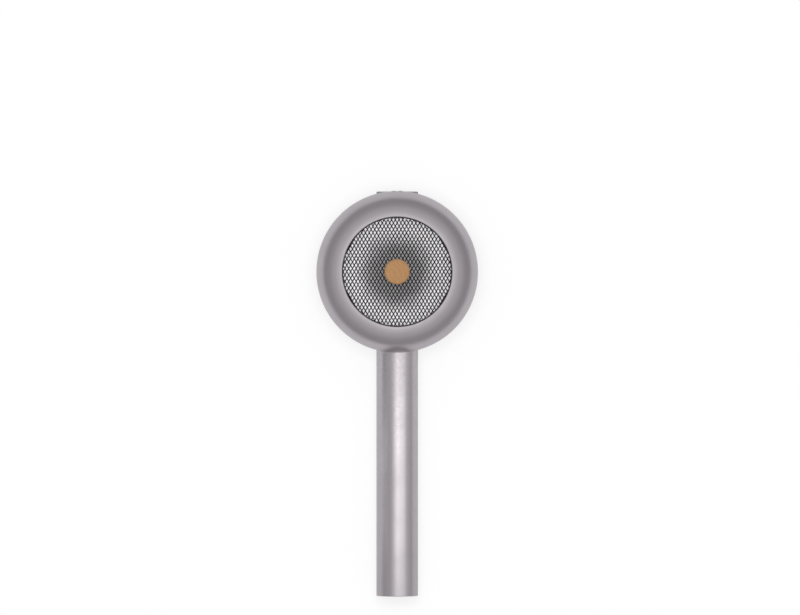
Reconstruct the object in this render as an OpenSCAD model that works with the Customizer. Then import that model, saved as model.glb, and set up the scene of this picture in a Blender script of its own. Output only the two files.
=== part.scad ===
// Campfire popcorn popper: a round steel pan with a hinged mesh lid and a long tube
// handle that takes a found stick. Millimetres, +Z up. The origin is the centre of the
// pan's flat base, the handle runs along -Y and the lid's hinge is at +Y.

/* [Pan] */
// Radius of the pan's outer wall
pan_r = 52; // [46:0.5:60]
// Thickness of the pan's sheet
pan_wall = 1; // [0.6:0.1:1.5]
// Outer radius of the corner between the wall and the base
pan_corner_r = 8; // [5:0.5:11]
// Radius of the rolled bead at the rim
rim_bead_r = 1.5; // [1.2:0.1:2]
// How far the bead stands into the pan past the wall
rim_bead_inset = 0.2; // [0.1:0.05:0.4]

/* [Lid] */
// How far the lid's rim stands out past the pan's wall
lid_overhang = 5.4; // [4.8:0.1:8]
// Radius of the lid's rounded shoulder, seen from the side
lid_dome_r = 18; // [15:0.5:22]
// Flat land between the shoulder and the mesh opening
lid_land = 0.65; // [0.4:0.05:2]
// Thickness of the lid's sheet
lid_sheet = 0.8; // [0.5:0.1:1.2]
// Height of the straight skirt below the shoulder
lid_skirt_h = 2; // [1:0.1:5]
// How far the inner lip is turned down to the mesh
lip_drop = 2; // [1.5:0.1:3]
// Gap between the pan's bead and the inside of the closed lid
seat_gap = 0.3; // [0.2:0.05:0.5]

/* [Mesh] */
// Spacing of the diamonds across the handle
mesh_pitch_x = 4.3; // [4.3:0.1:8]
// Spacing of the diamonds along the handle
mesh_pitch_y = 7.5; // [7.5:0.1:14]
// Width of one strand
mesh_strand = 1; // [0.6:0.05:1.4]
// Thickness of the mesh sheet
mesh_t = 0.7; // [0.4:0.05:1.2]
// Thickness of the ring that clamps the mesh
retainer_t = 0.7; // [0.5:0.05:1.2]
// Width of the retainer's flat under the mesh
retainer_flat_w = 4; // [3:0.1:5]
// Width of the retainer's welded flange
retainer_flange_w = 3.6; // [2:0.1:5]

/* [Knob] */
// Radius of the wooden knob
knob_r = 9; // [8:0.1:12]
// Height of the wooden knob
knob_h = 16; // [14:0.5:24]
// How much narrower the knob's foot is than its head
knob_taper = 2; // [1:0.1:3]
// Radius of the knob's rounded top edge
knob_edge_r = 2; // [1:0.1:3]
// Height of the tapered foot
knob_foot_h = 9; // [6:0.5:11]
// Radius of the threaded insert
insert_r = 3; // [2.6:0.1:3.5]
// Length of the threaded insert
insert_len = 9; // [6:0.5:11]
// Radius of the screw's shank
screw_r = 1.95; // [1.5:0.05:2.2]
// Length of the screw under its head
screw_len = 10; // [8:0.5:11]
// Radius of the screw's head
screw_head_r = 3.6; // [3:0.1:5]
// Height of the screw's head
screw_head_h = 2.2; // [1.5:0.1:3]
// Radius of the washer under the knob
top_washer_r = 6.5; // [5:0.1:7]
// Radius of the washer under the mesh
bottom_washer_r = 9; // [6:0.1:12]
// Thickness of both washers
washer_t = 1; // [0.6:0.1:1.5]

/* [Handle] */
// Outer radius of the handle's tube
tube_r = 14.8; // [13:0.1:17]
// Thickness of the tube's wall
tube_wall = 0.6; // [0.5:0.05:1]
// Distance from the pan's centre to the tube's open end
tube_reach = 230.8; // [180:0.1:300]
// Height of the tube's underside over the ground
tube_lift = 2.4; // [2:0.1:8]
// Gap between the tube's top and the lid's skirt; a deeper pan has a wider one
skirt_gap = 0.6; // [0.4:0.1:15]
// Thickness of the bracket's plate
bracket_t = 1.2; // [0.8:0.1:2]
// Half of the angle that the bracket's saddle takes up on the wall
saddle_half_deg = 32; // [30:1:40]
// Height of the saddle's lower edge over the ground
saddle_low_z = 1; // [0.5:0.1:2]
// How far the collar stands out from the pan's wall
collar_len = 14; // [12:0.5:30]
// How much the tube's root is bored out for the collar
root_ream = 0.25; // [0.15:0.05:0.3]

/* [Hinge] */
// Overall length of the hinge, pin heads included
hinge_w = 29.6; // [24:0.1:40]
// Length of the lid's own knuckle
lid_knuckle_w = 9.8; // [8:0.1:14]
// Outer radius of the knuckles
knuckle_r = 2; // [1.9:0.05:2.3]
// Radius of the hinge pin
pin_r = 1.25; // [0.9:0.05:1.4]
// Thickness of both leaves
leaf_t = 1; // [0.7:0.05:1.2]
// How far the knuckles lie inside the lid's outline
knuckle_inset = 0.2; // [0:0.05:0.6]
// Height of the fixed leaf on the pan's wall, below its shelf
pan_leaf_h = 15; // [12:0.5:17]
// Height of the fixed leaf's shelf over the knuckles' lowest line
shelf_rise = 0.15; // [0.1:0.05:0.3]
// Height of the pin's heads
pin_head_h = 0.6; // [0.4:0.05:1]
// How much smaller the pin's heads are than the knuckles
pin_head_step = 0.2; // [0.1:0.05:0.4]
// Angle round the lid's shoulder between the lid's leaf and the pan's bead
leaf_bead_gap_deg = 8; // [5:0.5:12]

/* [Rivets] */
// Radius of the bracket rivets' shanks
bracket_rivet_r = 1.6; // [1.2:0.1:2]
// Radius of the tube rivets' shanks
tube_rivet_r = 1.3; // [1:0.1:1.6]
// Radius of the hinge rivets' shanks
hinge_rivet_r = 1; // [0.8:0.1:1.2]
// Head radius of every rivet, as a multiple of its shank
rivet_head_ratio = 1.7; // [1.5:0.05:1.8]
// Height of a rivet's head
rivet_head_h = 1; // [0.6:0.1:1.4]
// Height of the low rivet heads on the lid
low_head_h = 0.5; // [0.4:0.05:0.8]
// Angle from the handle to the bracket's rivets
bracket_rivet_deg = 25; // [23:0.5:27]
// Angle below the horizon of the tube's rivets
tube_rivet_deg = 55; // [45:1:70]
// Distance from the hinge's middle to the pan leaf's rivets
hinge_rivet_x = 8; // [6:0.1:11]
// Distance from the hinge's middle to the lid leaf's rivets
lid_rivet_x = 2.5; // [2:0.1:3]
// Height of the bracket's lower rivets over the pan's corner
bracket_rivet_low = 5; // [4:0.1:7]
// Distance from the saddle's top edge down to the bracket's upper rivets
bracket_rivet_edge = 5.5; // [4:0.1:8]

/* [Clearances] */
// Radial gap of a rivet or screw in its hole
hole_gap = 0.05; // [0.02:0.01:0.15]
// Radial gap of the knob's screw in the mesh and washers
screw_hole_gap = 0.2; // [0.1:0.05:0.4]
// Gap under a rivet's inner head on a hollow wall
inner_head_gap = 0.02; // [0.01:0.01:0.1]
// Radial gap of the pin in the knuckles
pin_gap = 0.05; // [0.02:0.01:0.1]
// Gap between pieces that are welded, pressed or clamped together
joint_gap = 0.05; // [0.02:0.01:0.1]
// Gap between the ends of neighbouring knuckles
knuckle_gap = 0.3; // [0.2:0.05:0.6]
// Gap between the lid's skirt and the knuckles below it
skirt_knuckle_gap = 0.4; // [0.3:0.05:0.8]

/* [Hidden] */
$fn = 96;
// Overshoot that lets a cut pass right through a wall
past = 1;
// Spare angle of a curved strip before it is trimmed to its hinge leaf's width
spare_deg = 2;

// Handle heights and the lid's heights above it
tube_z = tube_lift + tube_r;
skirt_z = tube_z + tube_r + skirt_gap;
dome_z = skirt_z + lid_skirt_h;
lid_top_z = dome_z + lid_dome_r;

// Lid radii: rim, centre of the shoulder's arc, mesh opening
lid_r = pan_r + lid_overhang;
dome_c = lid_r - lid_dome_r;
mesh_open_r = dome_c - lid_land;
dome_in_r = lid_dome_r - lid_sheet;

// The pan's bead seats inside the shoulder, and its height sets the pan's depth
bead_c = pan_r - pan_wall - rim_bead_inset + rim_bead_r;
bead_seat_r = dome_in_r - rim_bead_r - seat_gap;
bead_rise = sqrt(pow(bead_seat_r, 2) - pow(bead_c - dome_c, 2));
bead_z = dome_z + bead_rise;
base_r = pan_r - pan_corner_r;

// Mesh, its clamp and the knob stack, from the lip upwards and downwards
mesh_top_z = lid_top_z - lip_drop;
mesh_z = mesh_top_z - mesh_t;
retainer_z = mesh_z - retainer_t;
riser_r = mesh_open_r + lid_sheet + retainer_flat_w;
mesh_r = riser_r - joint_gap;
flange_r = riser_r + retainer_flange_w;
knob_z = mesh_top_z + washer_t;
bottom_washer_z = mesh_z - washer_t;
screw_hole_r = screw_r + screw_hole_gap;
foot_r = knob_r - knob_taper;
// Diamonds closer to the middle than this would run under the screw's hole
mesh_core_r = screw_hole_r + mesh_pitch_y / 2 + mesh_strand;
// Half diagonals of a cell, and the share of it left open between the strands
cell_x = mesh_pitch_x / 2;
cell_y = mesh_pitch_y / 2;
cell_open = 1 - mesh_strand / 2 * norm([cell_x, cell_y]) / (cell_x * cell_y);
mesh_rows = ceil(mesh_open_r / cell_y);
mesh_columns = ceil(mesh_open_r / mesh_pitch_x) + 1;

// Tube, collar and the shoulder inside the tube where the stick stops
bore_r = tube_r - tube_wall;
root_r = bore_r + root_ream;
collar_r = root_r - joint_gap;
collar_in_r = collar_r - bracket_t;
collar_y = pan_r + collar_len;
shoulder_y = collar_y + joint_gap;
saddle_r = pan_r + bracket_t;
saddle_top_z = skirt_z - joint_gap;
tube_rivet_y = (saddle_r + collar_y) / 2;
bracket_rivet_zs = [pan_corner_r + bracket_rivet_low, saddle_top_z - bracket_rivet_edge];

// Hinge line just below the skirt, with the barrel's edge just inside the lid's outline
hinge_y = lid_r - knuckle_inset - knuckle_r;
hinge_z = skirt_z - skirt_knuckle_gap - knuckle_r;
pin_head_r = knuckle_r - pin_head_step;
barrel_half = hinge_w / 2 - pin_head_h;
lid_knuckle_half = lid_knuckle_w / 2;
slot_half = lid_knuckle_half + knuckle_gap;
pin_hole_r = pin_r + pin_gap;
shelf_z = hinge_z - knuckle_r + shelf_rise;
pan_leaf_r = pan_r + leaf_t;
pan_leaf_z = shelf_z - pan_leaf_h;
pan_leaf_half_deg = asin(barrel_half / pan_leaf_r) + spare_deg;
hinge_rivet_z = shelf_z - pan_leaf_h / 2;
// The lid's leaf follows the inside of the skirt and shoulder and stops below the bead
lid_leaf_out_r = dome_in_r - joint_gap;
lid_leaf_in_r = lid_leaf_out_r - leaf_t;
bead_deg = atan2(bead_rise, bead_c - dome_c);
lid_leaf_deg = bead_deg - asin(rim_bead_r / bead_seat_r) - leaf_bead_gap_deg;
lid_rivet_deg = lid_leaf_deg / 2;
lid_leaf_half_deg = asin(lid_knuckle_half / hinge_y) + spare_deg;

steel = [0.66, 0.65, 0.66];
dark_steel = [0.52, 0.51, 0.52];

// A quarter disc in the +X, +Y corner of its centre, or the +X, -Y corner
module quarter_disc(r, down = false) {
    intersection() {
        circle(r);
        translate([0, down ? -2 * r : 0]) square(2 * r);
    }
}

// Filled side profile of the pan's outside, grown outwards by a thickness
module pan_outline(grow = 0) {
    corner = pan_corner_r + grow;
    translate([0, -grow]) square([base_r, bead_z + grow]);
    translate([base_r, pan_corner_r]) {
        square([corner, bead_z - pan_corner_r]);
        quarter_disc(corner, down = true);
    }
}

// Solid of that profile, which the pieces on the wall are fitted against
module pan_envelope(grow = 0) {
    rotate_extrude() pan_outline(grow);
}

// Filled side profile under the lid's skin, shrunk inwards by a thickness
module lid_outline(shrink = 0) {
    arc_r = lid_dome_r - shrink;
    translate([0, skirt_z - past]) square([dome_c, arc_r + lid_skirt_h + past]);
    translate([dome_c, skirt_z - past]) square([arc_r, lid_skirt_h + past]);
    translate([dome_c, dome_z]) quarter_disc(arc_r);
}

// A curved band round the shoulder's centre, between two radii and up to an angle
module shoulder_band(outer_r, inner_r, deg) {
    translate([dome_c, dome_z]) intersection() {
        difference() {
            circle(outer_r);
            circle(inner_r);
        }
        polygon([[0, 0], [2 * outer_r, 0], [2 * outer_r, 2 * outer_r * tan(deg)]]);
    }
}

// Low domed half of a rivet's head, above the X axis of its profile
module head_profile(r, h) {
    ball_r = (r * r + h * h) / (2 * h);
    intersection() {
        translate([0, h - ball_r]) circle(ball_r);
        square([2 * r, 2 * h]);
    }
}

// Rivet along +Z: its outer head starts at 0 and its inner head at -grip
module rivet(r, grip, head_h = rivet_head_h) {
    head_r = r * rivet_head_ratio;
    rotate_extrude() {
        head_profile(head_r, head_h);
        translate([0, -grip]) square([r, grip]);
        translate([0, -grip]) mirror([0, 1]) head_profile(head_r, head_h);
    }
}

// How far a flat head of this radius is set in to clear a hollow wall
function set_in(r, wall_r) =
    wall_r - sqrt(wall_r * wall_r - pow(r * rivet_head_ratio, 2)) + inner_head_gap;

// Turns +Z outwards from the pan at an angle from +X and a height
module at_wall(deg, r, z) {
    rotate([0, 0, deg]) translate([r, 0, z]) rotate([0, 90, 0]) children();
}

// The bracket's rivet places, with +Z outwards and 0 on the saddle's outside
module at_bracket_rivets() {
    for (side = [-1, 1], z = bracket_rivet_zs)
        at_wall(-90 + side * bracket_rivet_deg, saddle_r, z) children();
}

// The pan leaf's rivet places, with +Z outwards and 0 on the leaf's outside
module at_hinge_pan_rivets() {
    for (side = [-1, 1])
        at_wall(90 + side * asin(hinge_rivet_x / pan_leaf_r), pan_leaf_r, hinge_rivet_z) children();
}

// The lid leaf's rivet places, square to the shoulder, with 0 on the lid's outside
module at_hinge_lid_rivets() {
    for (side = [-1, 1])
        rotate([0, 0, 90 + side * asin(lid_rivet_x / lid_r)])
            translate([dome_c, 0, dome_z]) rotate([0, 90 - lid_rivet_deg, 0])
                translate([0, 0, lid_dome_r]) children();
}

// The tube's rivet places on its underside, with +Z outwards and 0 on the tube's outside
module at_tube_rivets() {
    for (side = [-1, 1])
        translate([0, -tube_rivet_y, tube_z])
            rotate([0, side * (90 + tube_rivet_deg), 0])
                translate([0, 0, tube_r]) children();
}

// A hole along Z that reaches a depth below 0 and just past it
module rivet_hole(r, depth) {
    translate([0, 0, -depth]) cylinder(h = depth + past, r = r + hole_gap);
}

// A round bar along -Y between two distances from the pan's centre, on the tube's axis
module tube_bar(r, near_y, far_y) {
    translate([0, -near_y, tube_z]) rotate([90, 0, 0]) cylinder(h = far_y - near_y, r = r);
}

// A round bar along X on the hinge line, centred on the hinge
module hinge_bar(r, half) {
    translate([-half, hinge_y, hinge_z]) rotate([0, 90, 0]) cylinder(h = 2 * half, r = r);
}

// Keeps what lies within a distance of the hinge's middle plane
module within_hinge(half) {
    intersection() {
        children();
        translate([-half, 0, 0]) cube([2 * half, 2 * lid_r, 2 * lid_top_z]);
    }
}

module pan_bowl() {
    color(steel) difference() {
        rotate_extrude() {
            difference() {
                pan_outline();
                translate([0, pan_wall]) square([base_r, bead_z]);
                translate([base_r, pan_corner_r]) {
                    square([pan_corner_r - pan_wall, bead_z]);
                    quarter_disc(pan_corner_r - pan_wall, down = true);
                }
            }
            translate([bead_c, bead_z]) circle(rim_bead_r);
        }
        at_bracket_rivets() rivet_hole(bracket_rivet_r, 3 * pan_wall + bracket_t);
        at_hinge_pan_rivets() rivet_hole(hinge_rivet_r, 3 * pan_wall + leaf_t);
    }
}

module handle_bracket() {
    color(dark_steel) difference() {
        union() {
            rotate_extrude(angle = 2 * saddle_half_deg, start = -90 - saddle_half_deg)
                intersection() {
                    difference() {
                        pan_outline(bracket_t);
                        pan_outline(joint_gap);
                    }
                    translate([base_r, saddle_low_z]) square([saddle_r, saddle_top_z - saddle_low_z]);
                }
            difference() {
                tube_bar(collar_r, base_r, collar_y);
                tube_bar(collar_in_r, base_r - past, collar_y + past);
                pan_envelope(bracket_t / 2);
            }
        }
        at_bracket_rivets() rivet_hole(bracket_rivet_r, 2 * bracket_t);
        at_tube_rivets() rivet_hole(tube_rivet_r, tube_r - collar_in_r + bracket_t);
    }
}

module bracket_rivets() {
    inner_gap = set_in(bracket_rivet_r, pan_r - pan_wall);
    color(steel) at_bracket_rivets() rivet(bracket_rivet_r, bracket_t + pan_wall + inner_gap);
}

module handle_tube() {
    color(steel) difference() {
        tube_bar(tube_r, base_r, tube_reach);
        tube_bar(bore_r, base_r - past, tube_reach + past);
        tube_bar(root_r, base_r - past, shoulder_y);
        pan_envelope(bracket_t + joint_gap);
        at_tube_rivets() rivet_hole(tube_rivet_r, 3 * tube_wall);
    }
}

module tube_rivets() {
    inner_gap = set_in(tube_rivet_r, collar_in_r);
    color(steel) at_tube_rivets() rivet(tube_rivet_r, tube_r - collar_in_r + inner_gap);
}

module hinge_pan_leaf() {
    color(dark_steel) difference() {
        union() {
            within_hinge(barrel_half)
                rotate_extrude(angle = 2 * pan_leaf_half_deg, start = 90 - pan_leaf_half_deg)
                    translate([pan_r + joint_gap, pan_leaf_z])
                        square([leaf_t - joint_gap, pan_leaf_h + leaf_t]);
            difference() {
                translate([-barrel_half, base_r, shelf_z])
                    cube([2 * barrel_half, hinge_y - base_r, leaf_t]);
                pan_envelope(leaf_t / 2);
            }
            hinge_bar(knuckle_r, barrel_half);
        }
        hinge_bar(pin_hole_r, barrel_half + past);
        hinge_bar(knuckle_r + skirt_knuckle_gap, slot_half);
        at_hinge_pan_rivets() rivet_hole(hinge_rivet_r, 2 * leaf_t);
    }
}

module hinge_pan_rivets() {
    inner_gap = set_in(hinge_rivet_r, pan_r - pan_wall);
    color(steel) at_hinge_pan_rivets() rivet(hinge_rivet_r, leaf_t + pan_wall + inner_gap);
}

module hinge_pin() {
    color(steel) {
        hinge_bar(pin_r, barrel_half + pin_head_h);
        for (side = [-1, 1])
            translate([side * (barrel_half + (pin_head_h + joint_gap) / 2), hinge_y, hinge_z])
                rotate([0, 90, 0]) cylinder(h = pin_head_h - joint_gap, r = pin_head_r, center = true);
    }
}

module hinge_lid_leaf() {
    color(dark_steel) difference() {
        union() {
            within_hinge(lid_knuckle_half)
                rotate_extrude(angle = 2 * lid_leaf_half_deg, start = 90 - lid_leaf_half_deg) {
                    translate([dome_c + lid_leaf_in_r, hinge_z])
                        square([leaf_t, dome_z - hinge_z]);
                    shoulder_band(lid_leaf_out_r, lid_leaf_in_r, lid_leaf_deg);
                }
            hinge_bar(knuckle_r, lid_knuckle_half);
        }
        hinge_bar(pin_hole_r, lid_knuckle_half + past);
        at_hinge_lid_rivets() rivet_hole(hinge_rivet_r, 2 * (lid_sheet + leaf_t));
    }
}

module hinge_lid_rivets() {
    grip = lid_sheet + joint_gap + leaf_t + set_in(hinge_rivet_r, lid_leaf_in_r);
    color(steel) at_hinge_lid_rivets() rivet(hinge_rivet_r, grip, low_head_h);
}

module lid_ring() {
    color(steel) difference() {
        rotate_extrude() {
            difference() {
                lid_outline();
                lid_outline(lid_sheet);
                square([mesh_open_r, 2 * lid_top_z]);
                translate([0, skirt_z - 2 * past]) square([2 * lid_r, 2 * past]);
            }
            translate([mesh_open_r, mesh_top_z]) square([lid_sheet, lip_drop]);
        }
        at_hinge_lid_rivets() rivet_hole(hinge_rivet_r, 2 * lid_sheet);
    }
}

// Flat net of diamonds with its long way along the handle and a plain band under the lip
module lid_mesh() {
    color([0.16, 0.16, 0.17]) translate([0, 0, mesh_z]) linear_extrude(mesh_t) difference() {
        circle(mesh_r);
        circle(screw_hole_r);
        for (row = [-mesh_rows:mesh_rows], column = [-mesh_columns:mesh_columns])
            let (place = [(column + (row % 2 == 0 ? 0 : 0.5)) * mesh_pitch_x, row * cell_y])
                if (norm(place) < mesh_open_r && norm(place) > mesh_core_r)
                    translate(place) scale(cell_open)
                        polygon([[-cell_x, 0], [0, -cell_y], [cell_x, 0], [0, cell_y]]);
    }
}

// Flat under the mesh, a riser round its edge and a flange welded under the shoulder
module mesh_retainer() {
    color(dark_steel) rotate_extrude() difference() {
        intersection() {
            lid_outline(lid_sheet + joint_gap);
            translate([riser_r - retainer_flat_w, retainer_z])
                square([flange_r - riser_r + retainer_flat_w, lid_top_z]);
        }
        translate([0, mesh_z]) square([riser_r, lid_top_z]);
        difference() {
            lid_outline(lid_sheet + joint_gap + retainer_t);
            translate([0, retainer_z]) square([riser_r + retainer_t, lid_top_z]);
        }
    }
}

module knob() {
    color([0.71, 0.54, 0.38]) translate([0, 0, knob_z]) difference() {
        rotate_extrude() {
            polygon([[0, 0], [foot_r, 0], [knob_r, knob_foot_h], [knob_r, knob_h - knob_edge_r],
                [knob_r - knob_edge_r, knob_h - knob_edge_r], [knob_r - knob_edge_r, knob_h], [0, knob_h]]);
            translate([knob_r - knob_edge_r, knob_h - knob_edge_r]) quarter_disc(knob_edge_r);
        }
        translate([0, 0, -past]) cylinder(h = insert_len + past + joint_gap, r = insert_r + joint_gap);
    }
}

module knob_insert() {
    color([0.72, 0.6, 0.3]) translate([0, 0, knob_z]) difference() {
        cylinder(h = insert_len, r = insert_r);
        translate([0, 0, -past]) cylinder(h = insert_len + 2 * past, r = screw_r + hole_gap);
    }
}

module knob_screw() {
    color(steel) translate([0, 0, bottom_washer_z]) {
        cylinder(h = screw_len, r = screw_r);
        mirror([0, 0, 1]) rotate_extrude() head_profile(screw_head_r, screw_head_h);
    }
}

// A flat washer standing on the XY plane
module washer(r) {
    difference() {
        cylinder(h = washer_t, r = r);
        translate([0, 0, -past]) cylinder(h = washer_t + 2 * past, r = screw_hole_r);
    }
}

module knob_top_washer() {
    color(steel) translate([0, 0, mesh_top_z]) washer(top_washer_r);
}

module knob_bottom_washer() {
    color(steel) translate([0, 0, bottom_washer_z]) washer(bottom_washer_r);
}

pan_bowl();
handle_bracket();
bracket_rivets();
handle_tube();
tube_rivets();
hinge_pan_leaf();
hinge_pan_rivets();
hinge_pin();
hinge_lid_leaf();
hinge_lid_rivets();
lid_ring();
lid_mesh();
mesh_retainer();
knob();
knob_insert();
knob_screw();
knob_top_washer();
knob_bottom_washer();
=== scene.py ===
"""Looks of a campfire popcorn popper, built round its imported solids, in metres."""
import math

import bmesh
import bpy
from mathutils import Matrix, Vector


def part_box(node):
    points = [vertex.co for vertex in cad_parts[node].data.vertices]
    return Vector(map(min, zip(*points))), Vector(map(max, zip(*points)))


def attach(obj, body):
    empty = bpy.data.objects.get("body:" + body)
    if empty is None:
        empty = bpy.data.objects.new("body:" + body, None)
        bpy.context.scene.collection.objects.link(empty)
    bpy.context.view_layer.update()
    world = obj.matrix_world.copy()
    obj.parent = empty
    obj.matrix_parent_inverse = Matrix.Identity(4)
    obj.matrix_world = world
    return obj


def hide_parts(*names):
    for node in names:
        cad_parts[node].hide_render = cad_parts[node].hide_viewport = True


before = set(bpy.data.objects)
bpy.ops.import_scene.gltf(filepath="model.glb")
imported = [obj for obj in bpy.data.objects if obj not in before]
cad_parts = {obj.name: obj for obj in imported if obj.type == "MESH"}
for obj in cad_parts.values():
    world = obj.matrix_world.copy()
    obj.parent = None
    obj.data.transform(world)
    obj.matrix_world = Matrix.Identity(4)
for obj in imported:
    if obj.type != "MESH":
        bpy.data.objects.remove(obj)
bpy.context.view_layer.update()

MM = 0.001

# Boxes of the solids

lid_low, lid_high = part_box("lid_ring")
pan_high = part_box("pan_bowl")[1]
tube_low, tube_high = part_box("handle_tube")
net_low, net_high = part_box("lid_mesh")
knob_low, knob_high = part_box("knob")
insert_low, insert_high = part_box("knob_insert")
screw_low, screw_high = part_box("knob_screw")
bracket_low, bracket_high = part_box("handle_bracket")
leaf_low, leaf_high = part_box("hinge_pan_leaf")
pin_low, pin_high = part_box("hinge_pin")
clamp_low, clamp_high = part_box("mesh_retainer")

# Gap between pieces that are welded, pressed or clamped together
FIT = 0.05 * MM

# Lid, with the sheet sizes of its solid

LID_R = lid_high.x
LID_TOP_Z = lid_high.z
SKIRT_Z = lid_low.z
SKIRT_H = 2 * MM
DOME_R = 18 * MM
LID_SHEET = 0.8 * MM
LIP_LAND = 0.65 * MM
DOME_C = LID_R - DOME_R
DOME_Z = SKIRT_Z + SKIRT_H
OPEN_R = DOME_C - LIP_LAND
# Shoulder radius of what lies against the lid's inside
LINING_R = DOME_R - LID_SHEET - FIT

# Mesh, at the true spacing of its diamonds, whose long way lies along the handle

CELL_X = 2.64 * MM
CELL_Y = 4.61 * MM
STRAND_W = 0.75 * MM
STRAND_T = 0.36 * MM
STRAND_TILT = 0.1 * MM
NET_Z = (net_low.z + net_high.z) / 2
NET_CORE_R = 3.4 * MM
# The plain rim round the diamonds, of which a thin line shows inside the opening
NET_RIM_SHOWN = 0.6 * MM
NET_RIM_T = 0.5 * MM
NET_RIM_EDGE = 0.15 * MM
CLAMP_T = 0.7 * MM
CLAMP_FLAT_W = 4 * MM
CLAMP_EDGE = 0.2 * MM

# Knob and its fasteners

KNOB_TAPER = 2 * MM
KNOB_FOOT_H = 9 * MM
KNOB_FOOT_EDGE = 0.5 * MM
KNOB_TOP_EDGE = 2 * MM
# How far the knob's top bulges and its tapered side is drawn in
KNOB_CROWN = 0.25 * MM
KNOB_HOLLOW = 0.12 * MM
INSERT_BORE_R = 2 * MM
INSERT_EDGE = 0.3 * MM
SCREW_R = 1.95 * MM
SCREW_HOLE_R = 2.15 * MM
SCREW_HEAD_H = 2.2 * MM
SCREW_TIP_W = 0.3 * MM
SCREW_TIP_H = 0.4 * MM
# The driver's cross: its depth would reach nothing at the fade distance from its middle
CROSS_HALF_W = 0.42 * MM
CROSS_REACH = 1.9 * MM
CROSS_DEPTH = 1.2 * MM
CROSS_FADE = 2.6 * MM
WASHER_EDGE = 0.2 * MM

# Pan

PAN_R = 52 * MM
PAN_WALL = 1 * MM
PAN_CORNER_R = 8 * MM
PAN_BASE_R = PAN_R - PAN_CORNER_R
BEAD_R = 1.5 * MM
BEAD_C = pan_high.x - BEAD_R
BEAD_Z = pan_high.z - BEAD_R
# The sheet leaves the wall below the bead and curls round between these angles
BEAD_NECK = 1 * MM
CURL_START_DEG = 200
CURL_END_DEG = -92
# The underside is pressed up a little inside a standing ring
BASE_DISH = 0.3 * MM
BASE_RING_W = 3 * MM
DISH_SLOPE_W = 2 * MM
# Inside, the pan is flat to this radius and then rises in a wide sweep to the corner
PAN_FLAT_R = 30 * MM
PAN_SWEEP_R = 110 * MM

# Handle and its bracket

TUBE_R = tube_high.x
TUBE_Z = (tube_low.z + tube_high.z) / 2
TUBE_END = -tube_low.y
TUBE_WALL = 0.6 * MM
TUBE_REAM = 0.25 * MM
TUBE_EDGE = 0.22 * MM
BRACKET_T = 1.2 * MM
COLLAR_R = TUBE_R - TUBE_WALL + TUBE_REAM - FIT
COLLAR_IN_R = COLLAR_R - BRACKET_T
COLLAR_END = -bracket_low.y
SADDLE_HALF_DEG = 32
SADDLE_ROUND = 4 * MM
SADDLE_EDGE = 0.2 * MM
SADDLE_MERGE = 0.005 * MM

# Hinge

HINGE_Y = (pin_low.y + pin_high.y) / 2
HINGE_Z = (pin_low.z + pin_high.z) / 2
BARREL_HALF = leaf_high.x
LID_KNUCKLE_HALF = 4.9 * MM
SLOT_HALF = 5.2 * MM
SLOT_STEP = 0.01 * MM
KNUCKLE_R = 2 * MM
KNUCKLE_EDGE = 0.18 * MM
PIN_R = 1.25 * MM
PIN_HEAD_R = 1.8 * MM
PIN_EDGE = 0.25 * MM
KNUCKLE_BORE_R = PIN_R + FIT
LEAF_T = 1 * MM
LEAF_ROUND = 2.5 * MM
LEAF_EDGE = 0.15 * MM
BEND_IN_R = 0.5 * MM
BEND_OUT_R = 1.2 * MM
# The fixed leaf's shelf starts just above the knuckles' underside and ends inside their wall
SHELF_Z = HINGE_Z - KNUCKLE_R + 0.15 * MM
SHELF_END_Y = HINGE_Y - 1.05 * MM
LID_LEAF_DEG = 19.5
# The moving leaf's foot lies in its knuckle's wall, clear of the bore
LID_LEAF_FOOT_Z = HINGE_Z + 1.4 * MM

# Rivets

RIVET_HEAD_RATIO = 1.7
RIVET_HEAD_H = 1 * MM
LOW_HEAD_H = 0.5 * MM
INNER_HEAD_GAP = 0.02 * MM
BRACKET_RIVET_R = 1.6 * MM
BRACKET_RIVET_DEG = 25
BRACKET_RIVET_ZS = (PAN_CORNER_R + 5 * MM, bracket_high.z - 5.5 * MM)
TUBE_RIVET_R = 1.3 * MM
TUBE_RIVET_DEG = 55
TUBE_RIVET_Y = -(PAN_R + BRACKET_T + COLLAR_END) / 2
HINGE_RIVET_R = 1 * MM
PAN_LEAF_RIVET_X = 8 * MM
LID_LEAF_RIVET_X = 2.5 * MM

# Fineness of the meshes

SPIN_STEPS = 256
CORNER_STEPS = 3
MERGE = 0.001 * MM
NET_MERGE = 0.01 * MM
# How near to a line or plane a vertex lies that is picked by it
PICK = 0.01 * MM
SMOOTH_DEG = 32
# Corners sharper than these are rounded, over no more than this share of a profile's side
PROFILE_CORNER_DEG = 35
EDGE_CORNER_DEG = 50
CORNER_SHARE = 0.45


# Mesh helpers

def arc(centre, radius, start_deg, end_deg, steps):
    """Points along an arc in a side profile, ends included."""
    points = []
    for i in range(steps + 1):
        a = math.radians(start_deg + (end_deg - start_deg) * i / steps)
        points.append((centre[0] + radius * math.cos(a), centre[1] + radius * math.sin(a)))
    return points


def rounded(points, radius, closed=True):
    """The same side profile with its sharp corners rounded off."""
    result = []
    for i, point in enumerate(points):
        here = Vector(point)
        back = Vector(points[i - 1]) - here
        on = Vector(points[(i + 1) % len(points)]) - here
        is_end = not closed and i in (0, len(points) - 1)
        if is_end or math.pi - back.angle(on) < math.radians(PROFILE_CORNER_DEG):
            result.append(point)
            continue
        first = here + back.normalized() * min(radius, back.length * CORNER_SHARE)
        last = here + on.normalized() * min(radius, on.length * CORNER_SHARE)
        for k in range(CORNER_STEPS + 1):
            t = k / CORNER_STEPS
            result.append(tuple(first * (1 - t) ** 2 + here * 2 * t * (1 - t) + last * t ** 2))
    return result


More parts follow.
